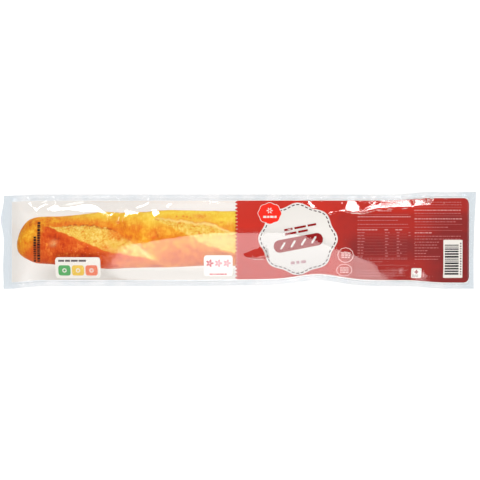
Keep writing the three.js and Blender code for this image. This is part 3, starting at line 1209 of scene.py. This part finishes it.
def makeBadge():
    plate = lobedDisc("badge", badge, badge["radius"], "badgeWhite", "badge")
    stitches = grow("badgeStitches", stitchRing, {
        "Radius": badge["radius"] - badge["stitchInset"], "Depth": badge["depth"], "Squash": badge["squash"],
        "Count": badge["stitches"], "Length": badge["stitchLength"], "Width": badge["stitchWidth"],
        "Material": inks["stitch"]})
    layOn(stitches, badge["centre"], "mark")
    middle, size, turn = badge["loafMiddle"], badge["loafSize"], badge["loafTurn"]
    picture = roundedBox("badgeLoaf", middle, size, size[1] / 2, "wine", "mark", turn)
    cuts = []
    for k in range(4):
        place = turnAbout(middle, (k - 1.5) * 12.5 * mm, 0, turn)
        cuts.append(roundedBox("badgeCut", place, (10 * mm, 2.4 * mm), 1.15 * mm, "badgeWhite", "fine",
                               turn + 48, mm))
    cuts.append(words(54.5, 12.0, 40, "wine", 2.6, 2, 5.2, (6, 14), 2.2, seed=5, turn=11))
    cuts.append(words(62.5, -27.2, 22, "mauve", 3.4, 1, 4, (3.5, 6), 2.0, seed=9, turn=6))
    return [plate, stitches, picture, joinPieces("badgeMarks", cuts)]


seal = {
    "centre": (37.3 * mm, 32.3 * mm),
    "radius": 13.4 * mm,
    "lobes": 8,
    "depth": 0.55 * mm,
    "edge": 0.65 * mm,
    "squash": 0.915,
}


def makeSeal():
    edge = lobedDisc("sealEdge", seal, seal["radius"] + seal["edge"], "white", "mark")
    plate = lobedDisc("seal", seal, seal["radius"], "brightRed", "fine")
    star = grow("sealStar", petalRing, {
        "Petals": 6, "Radius": 2.4 * mm, "Length": 2.8 * mm, "Width": 1.3 * mm, "Material": inks["white"]})
    layOn(star, (37.3 * mm, 35.6 * mm), "over")
    row = words(29.6, 28.0, 16, "white", 2.4, 1, 3, (2.2, 4.4), 1.0, seed=4, layer="over")
    return [edge, plate, joinPieces("sealMarks", [star, row])]


# Ring signs beside the badge
def makeSigns():
    signs = []
    for x, y, radius, squash in ((127.8, -17.6, 9.6, 0.94), (126.6, -35.6, 9.4, 0.78)):
        centre = (x * mm, y * mm)
        signs.append(disc("signRing", centre, radius * mm, "pale", "mark", 12, 0.2 * mm, squash, 0.91))
        signs.append(words(x - 5, y + 2.6, 11, "pale", 1.3, 3, 2.6, (1.6, 3.6), 0.7, seed=int(radius * 10)))
    return joinPieces("ringSigns", signs)


# Small print, in millimetres: x and y of the first row, length, rows, pitch, height
smallPrint = [
    (167, 35.3, 20, 1, 3, 1.1), (142.5, 28.2, 64, 1, 3, 1.2), (142.5, 23.9, 50, 1, 3, 0.9),
    (142.5, 19.1, 60, 1, 3, 0.9), (142, 12.6, 26, 1, 3, 1.3), (142, 9.2, 10, 9, 3.5, 0.9),
    (174.5, 12.6, 6, 1, 3, 1.2), (175, 9.2, 5.5, 9, 3.5, 0.9), (187.5, 12.6, 9, 1, 3, 1.2),
    (189, 9.2, 6.5, 9, 3.5, 0.9), (203, 9.2, 3, 3, 3.5, 0.8), (203, -9.2, 3, 2, 7, 0.8),
    (142, -22.3, 61, 1, 3, 0.9), (142, -25.6, 32, 1, 3, 0.9), (140.5, -36.0, 62, 3, 3.2, 0.9),
    (210.5, 45.7, 58, 2, 3.1, 0.8), (210.5, 36.0, 58, 1, 3, 1.25), (210.5, 32.3, 58, 1, 3, 0.9),
    (210.5, 25.7, 58, 1, 3, 1.25), (210.5, 22.2, 50, 1, 3, 0.9), (210.5, 15.6, 42, 1, 3, 0.9),
    (210.5, 9.0, 22, 1, 3, 1.25), (210.5, 4.9, 58, 2, 3.4, 0.9), (210.5, -2.2, 30, 3, 3.4, 0.9),
    (210.5, -12.4, 16, 2, 3.3, 0.9), (210.5, -19.3, 31, 2, 3.3, 0.9),
]
rules = [
    (142, 31.1, 62), (142, 15.5, 62), (142, -29.8, 62), (210.5, 39.7, 58), (210.5, 29.2, 58),
    (210.5, 19.1, 58), (210.5, 11.9, 58),
]


def makeSmallPrint():
    rows = []
    for k, (x, y, length, count, pitch, height) in enumerate(smallPrint):
        size = (1.0, 3.6) if length > 12 else (2.2, 4.4)
        ink = "blush" if height > 1 else "faint"
        rows.append(words(x, y, length, ink, height, count, pitch, size, 0.95, seed=20 + k))
    for x, y, length in rules:
        rows.append(plainBox("rule", x + length / 2, y, length, 0.3, 0.1, "faint"))
    for k in range(9):
        rows.append(plainBox("tableRule", 172, 7.5 - 3.5 * k, 60, 0.16, 0.05, "faint"))
    return joinPieces("smallPrint", rows)


# White box of stacked bars, and a small white square
def makeCodeBox():
    box = plainBox("codeBox", 256.8, -22.2, 23.5, 45.6, 0.6)
    bars = words(255.2, -41.2, 38.5, "bar", 17.0, 1, 3, (0.6, 2.2), 1.25, seed=3, turn=90, layer="fine",
                 slices=14)
    ticks = words(266.3, -41.0, 40, "bar", 1.6, 1, 3, (0.9, 1.7), 1.7, seed=8, turn=90, layer="fine")
    return [box, joinPieces("codeBars", [bars, ticks])]


def makeSquare():
    box = plainBox("smallSquare", 212.8, -39.2, 12.2, 11.8, 0.8)
    mark = disc("squareMark", (212.8 * mm, -37.8 * mm), 2.1 * mm, "wine", "fine", 4, 0.5 * mm)
    rows = words(208.4, -41.6, 9, "grey", 0.8, 2, 1.5, (1.2, 2.6), 0.6, seed=6, layer="fine")
    side = words(221.4, -44.0, 10, "blush", 0.8, 1, 3, (1.0, 2.2), 0.8, seed=7, turn=90)
    return [box, joinPieces("squareMarks", [mark, rows, side])]


# Labels on the clear half
def makeBlockLabel():
    box = plainBox("blockLabel", -192, -32.8, 54.0, 25.2, 3.6, layer="badge")
    blocks = [words(-215.2, -24.4, 38, "grey", 2.3, 1, 3, (4, 9), 1.1, seed=11)]
    for k, ink in enumerate(("green", "amber", "salmon")):
        x, y = -208.2 + 16.2 * k, -36.0
        blocks.append(plainBox("block", x, y, 14.6, 12.4, 3, ink, step=0.8))
        blocks.append(disc("blockDot", (x * mm, y * mm), 2.6 * mm, "white", "fine", hole=0.55))
    return [box, joinPieces("blockLabelMarks", blocks)]


def makeRosetteLabel():
    box = plainBox("rosetteLabel", -24.2, -30.4, 34.4, 25.2, 3.2, layer="badge")
    marks = [words(-34.5, -40.6, 21, "pink", 1.7, 1, 3, (2.0, 4.6), 0.8, seed=13)]
    for k, ink in enumerate(("pink", "rose", "rose")):
        flower = grow("flower", petalRing, {
            "Petals": 5, "Radius": 2.7 * mm, "Length": 4.2 * mm, "Width": 2.5 * mm, "Material": inks[ink]})
        marks.append(layOn(flower, ((-34.4 + 10.3 * k) * mm, -27.4 * mm), "mark"))
    return [box, joinPieces("rosetteLabelMarks", marks)]


def makeDateMarks():
    first = words(-243.2, -25.5, 32, "black", 3.0, 1, 4, (1.0, 2.7), 0.9, seed=31, turn=90)
    second = words(-238.6, -25.5, 48, "black", 3.4, 1, 4, (1.0, 2.9), 0.9, seed=35, turn=90)
    return joinPieces("dateMarks", [first, second])


prints = [
    redMargin, redField, *makeBadge(), *makeSeal(), makeSigns(), makeSmallPrint(), *makeCodeBox(),
    *makeSquare(), *makeBlockLabel(), *makeRosetteLabel(), makeDateMarks(),
]
print("print made:", len(prints), "pieces")

# Floor
floor = {"half": 6.0, "albedo": 0.16, "glow": 0.89, "under": 0.4 * mm}


def floorSurface(tree, place):
    stops = [(0.3, 3 * (floor["albedo"] - 0.005,)), (0.7, 3 * (floor["albedo"] + 0.005,))]
    shade = ramp(tree, noiseNode(tree, place, 8.0), stops)
    matte = outOf(tree, "ShaderNodeBsdfDiffuse", {"Color": shade})
    glow = outOf(tree, "ShaderNodeEmission", {"Color": (1, 1, 1, 1), "Strength": floor["glow"]})
    return outOf(tree, "ShaderNodeAddShader", {0: matte, 1: glow})


def makeFloor():
    material = newMaterial("paleFloor", floorSurface)
    half, under = floor["half"], -floor["under"]
    corners = [(-half, -half, under), (half, -half, under), (half, half, under), (-half, half, under)]
    piece = meshFrom("floor", corners, [(0, 1, 2, 3)], [material], smooth=False)


makeFloor()


# Light: place, target, size, radiance, what it lights
lights = {
    "softboxSouth": ((0.02, -0.925, 1.65), (0.02, 0.71, 0.69), (0.58, 2.67), 3.0, "glossy"),
    "keyNorth": ((0, 1.75, 0.64), (0, 0, 0.03), (1.3, 0.30), 15, "glossy"),
    "fillAbove": ((0, 0, 2.6), (0, 0, 0), (1.6, 1.2), 5.4, "diffuse"),
    "fillNorth": ((0, 1.685, 1.414), (0, 0, 0), (1.4, 1.0), 5.2, "diffuse"),
    "fillSouth": ((0, -1.685, 1.414), (0, 0, 0), (1.4, 1.0), 4.9, "diffuse"),
}
skyLight = {"camera": 1.0, "mirroredHigh": 0.02, "mirroredLow": 0.8, "other": 0.34}


def areaLight(name, place, target, size, radiance, kind):
    data = bpy.data.lights.new(name, "AREA")
    data.shape = "RECTANGLE"
    data.size, data.size_y = size
    data.energy = radiance * math.pi * size[0] * size[1]
    light = bpy.data.objects.new(name, data)
    light.location = place
    light.rotation_euler = (Vector(target) - Vector(place)).to_track_quat("-Z", "Y").to_euler()
    light.visible_camera = False
    light.visible_diffuse = kind != "glossy"
    light.visible_glossy = kind != "diffuse"
    bpy.context.scene.collection.objects.link(light)


for name, settings in lights.items():
    areaLight(name, *settings)

world = bpy.data.worlds.new("studio")
world.use_nodes = True
worldTree = world.node_tree
background = worldTree.nodes["Background"]
background.inputs["Color"].default_value = (1, 1, 1, 1)
ray = addNode(worldTree, "ShaderNodeLightPath").outputs
direction = addNode(worldTree, "ShaderNodeTexCoord").outputs["Generated"]
upward = splitXyz(worldTree, direction)["Z"]
mirrored = smoothSpread(worldTree, upward, 0.12, 0.42, skyLight["mirroredLow"], skyLight["mirroredHigh"])
brighter = skyLight["camera"] - skyLight["other"]
seen = timesPlus(worldTree, ray["Is Camera Ray"], brighter, skyLight["other"])
seen = timesPlus(worldTree, ray["Is Glossy Ray"], minus(worldTree, mirrored, skyLight["other"]), seen)
worldTree.links.new(seen, background.inputs["Strength"])
bpy.context.scene.world = world

cameraData = bpy.data.cameras.new("camera")
cameraData.sensor_width = 36
cameraData.lens = 36 * camera["distance"] / camera["frameWidth"]
cameraData.clip_end = 50
cameraPiece = bpy.data.objects.new("camera", cameraData)
cameraPiece.location = (camera["lookX"], camera["lookY"], pack["rim"] + camera["distance"])
bpy.context.scene.collection.objects.link(cameraPiece)
bpy.context.scene.camera = cameraPiece
bpy.context.scene.view_settings.view_transform = "Standard"
bpy.context.scene.cycles.transparent_max_bounces = 16

for piece in [packFilm, loafPiece, *prints]:
    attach(piece, "root")
for piece in (packFilm, loafPiece):
    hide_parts("pack")
